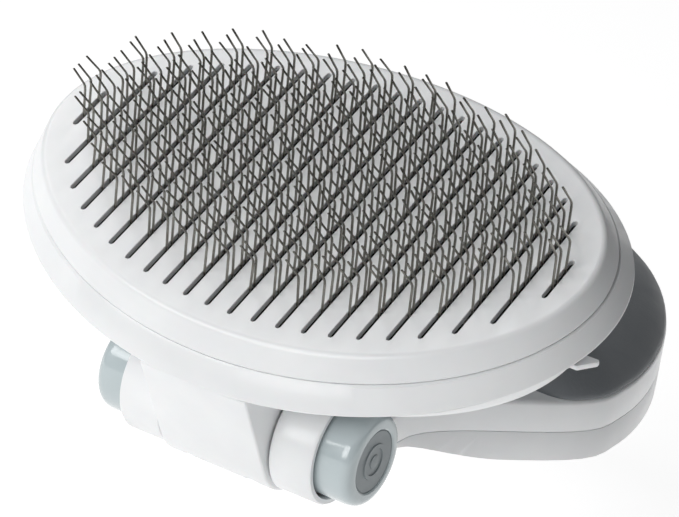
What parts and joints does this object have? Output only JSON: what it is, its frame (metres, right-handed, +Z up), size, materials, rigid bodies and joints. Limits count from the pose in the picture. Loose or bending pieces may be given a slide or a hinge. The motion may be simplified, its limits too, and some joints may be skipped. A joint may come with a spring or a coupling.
{
  "type": "slicker brush",
  "caption": "Oval slicker brush with cranked wire pins standing through slots, a retracting pin bed and a broad palm handle that folds on a push-button hinge.",
  "frame": {"origin": "on the flat underside of the handle, on its middle line, 50 mm behind the hinge axis; the underside rests on z = 0", "axes": "+Z up from the resting face, +X along the hinge axis to the right-hand button, +Y from the hinge towards the tip of the handle"},
  "size_m": [0.107, 0.1338, 0.0627],
  "materials": {
    "body_plastic": "fine satin moulded white",
    "button_plastic": "glossy moulded blue-grey",
    "badge_plastic": "satin darker grey",
    "grip_rubber": "soft-touch moulded rubber",
    "inner_plastic": "plain moulded",
    "pin_steel": "drawn wire",
    "steel": "ground and plated",
    "screw_steel": "zinc plated"
  },
  "bodies": {
    "handle": {"handle_lower_shell": "body_plastic", "handle_upper_shell": "body_plastic", "grip_inlay": "grip_rubber", "handle_yoke": "body_plastic", "handle_screws": "screw_steel", "left_button_spring": "steel", "right_button_spring": "steel"},
    "head": {"face_plate": "body_plastic", "rim_shell": "body_plastic", "back_cover": "body_plastic", "hinge_saddle": "body_plastic", "hinge_axle": "steel", "cover_screws": "screw_steel", "saddle_screws": "screw_steel", "guide_posts": "steel", "latch_springs": "steel"},
    "pin_bed": {"pin_carrier": "inner_plastic", "pins": "pin_steel", "push_pad": "button_plastic", "pad_screws": "screw_steel"},
    "latch": {"release_tab": "body_plastic"},
    "left_push": {"left_button": "button_plastic", "left_badge": "badge_plastic", "left_plunger": "steel"},
    "right_push": {"right_button": "button_plastic", "right_badge": "badge_plastic", "right_plunger": "steel"}
  },
  "joints": [
    {"name": "handle_fold", "type": "hinge", "parent": "handle", "child": "head", "pos_m": [0, -0.05, 0.0102], "axis": [1, 0, 0], "range_deg": [0, 156]},
    {"name": "pin_retract", "type": "slide", "parent": "head", "child": "pin_bed", "axis": [0, 0.4067, -0.9135], "range_m": [0, 0.0104]},
    {"name": "latch_slide", "type": "slide", "parent": "head", "child": "latch", "axis": [1, 0, 0], "range_m": [0, 0.002], "stiffness_N_per_m": 300, "springref_m": -0.001, "deforming": ["latch_springs"]},
    {"name": "left_button_push", "type": "slide", "parent": "handle", "child": "left_push", "axis": [1, 0, 0], "range_m": [0, 0.003], "stiffness_N_per_m": 600, "springref_m": -0.002, "deforming": ["left_button_spring"]},
    {"name": "right_button_push", "type": "slide", "parent": "handle", "child": "right_push", "axis": [-1, 0, 0], "range_m": [0, 0.003], "stiffness_N_per_m": 600, "springref_m": -0.002, "deforming": ["right_button_spring"]}
  ]
}
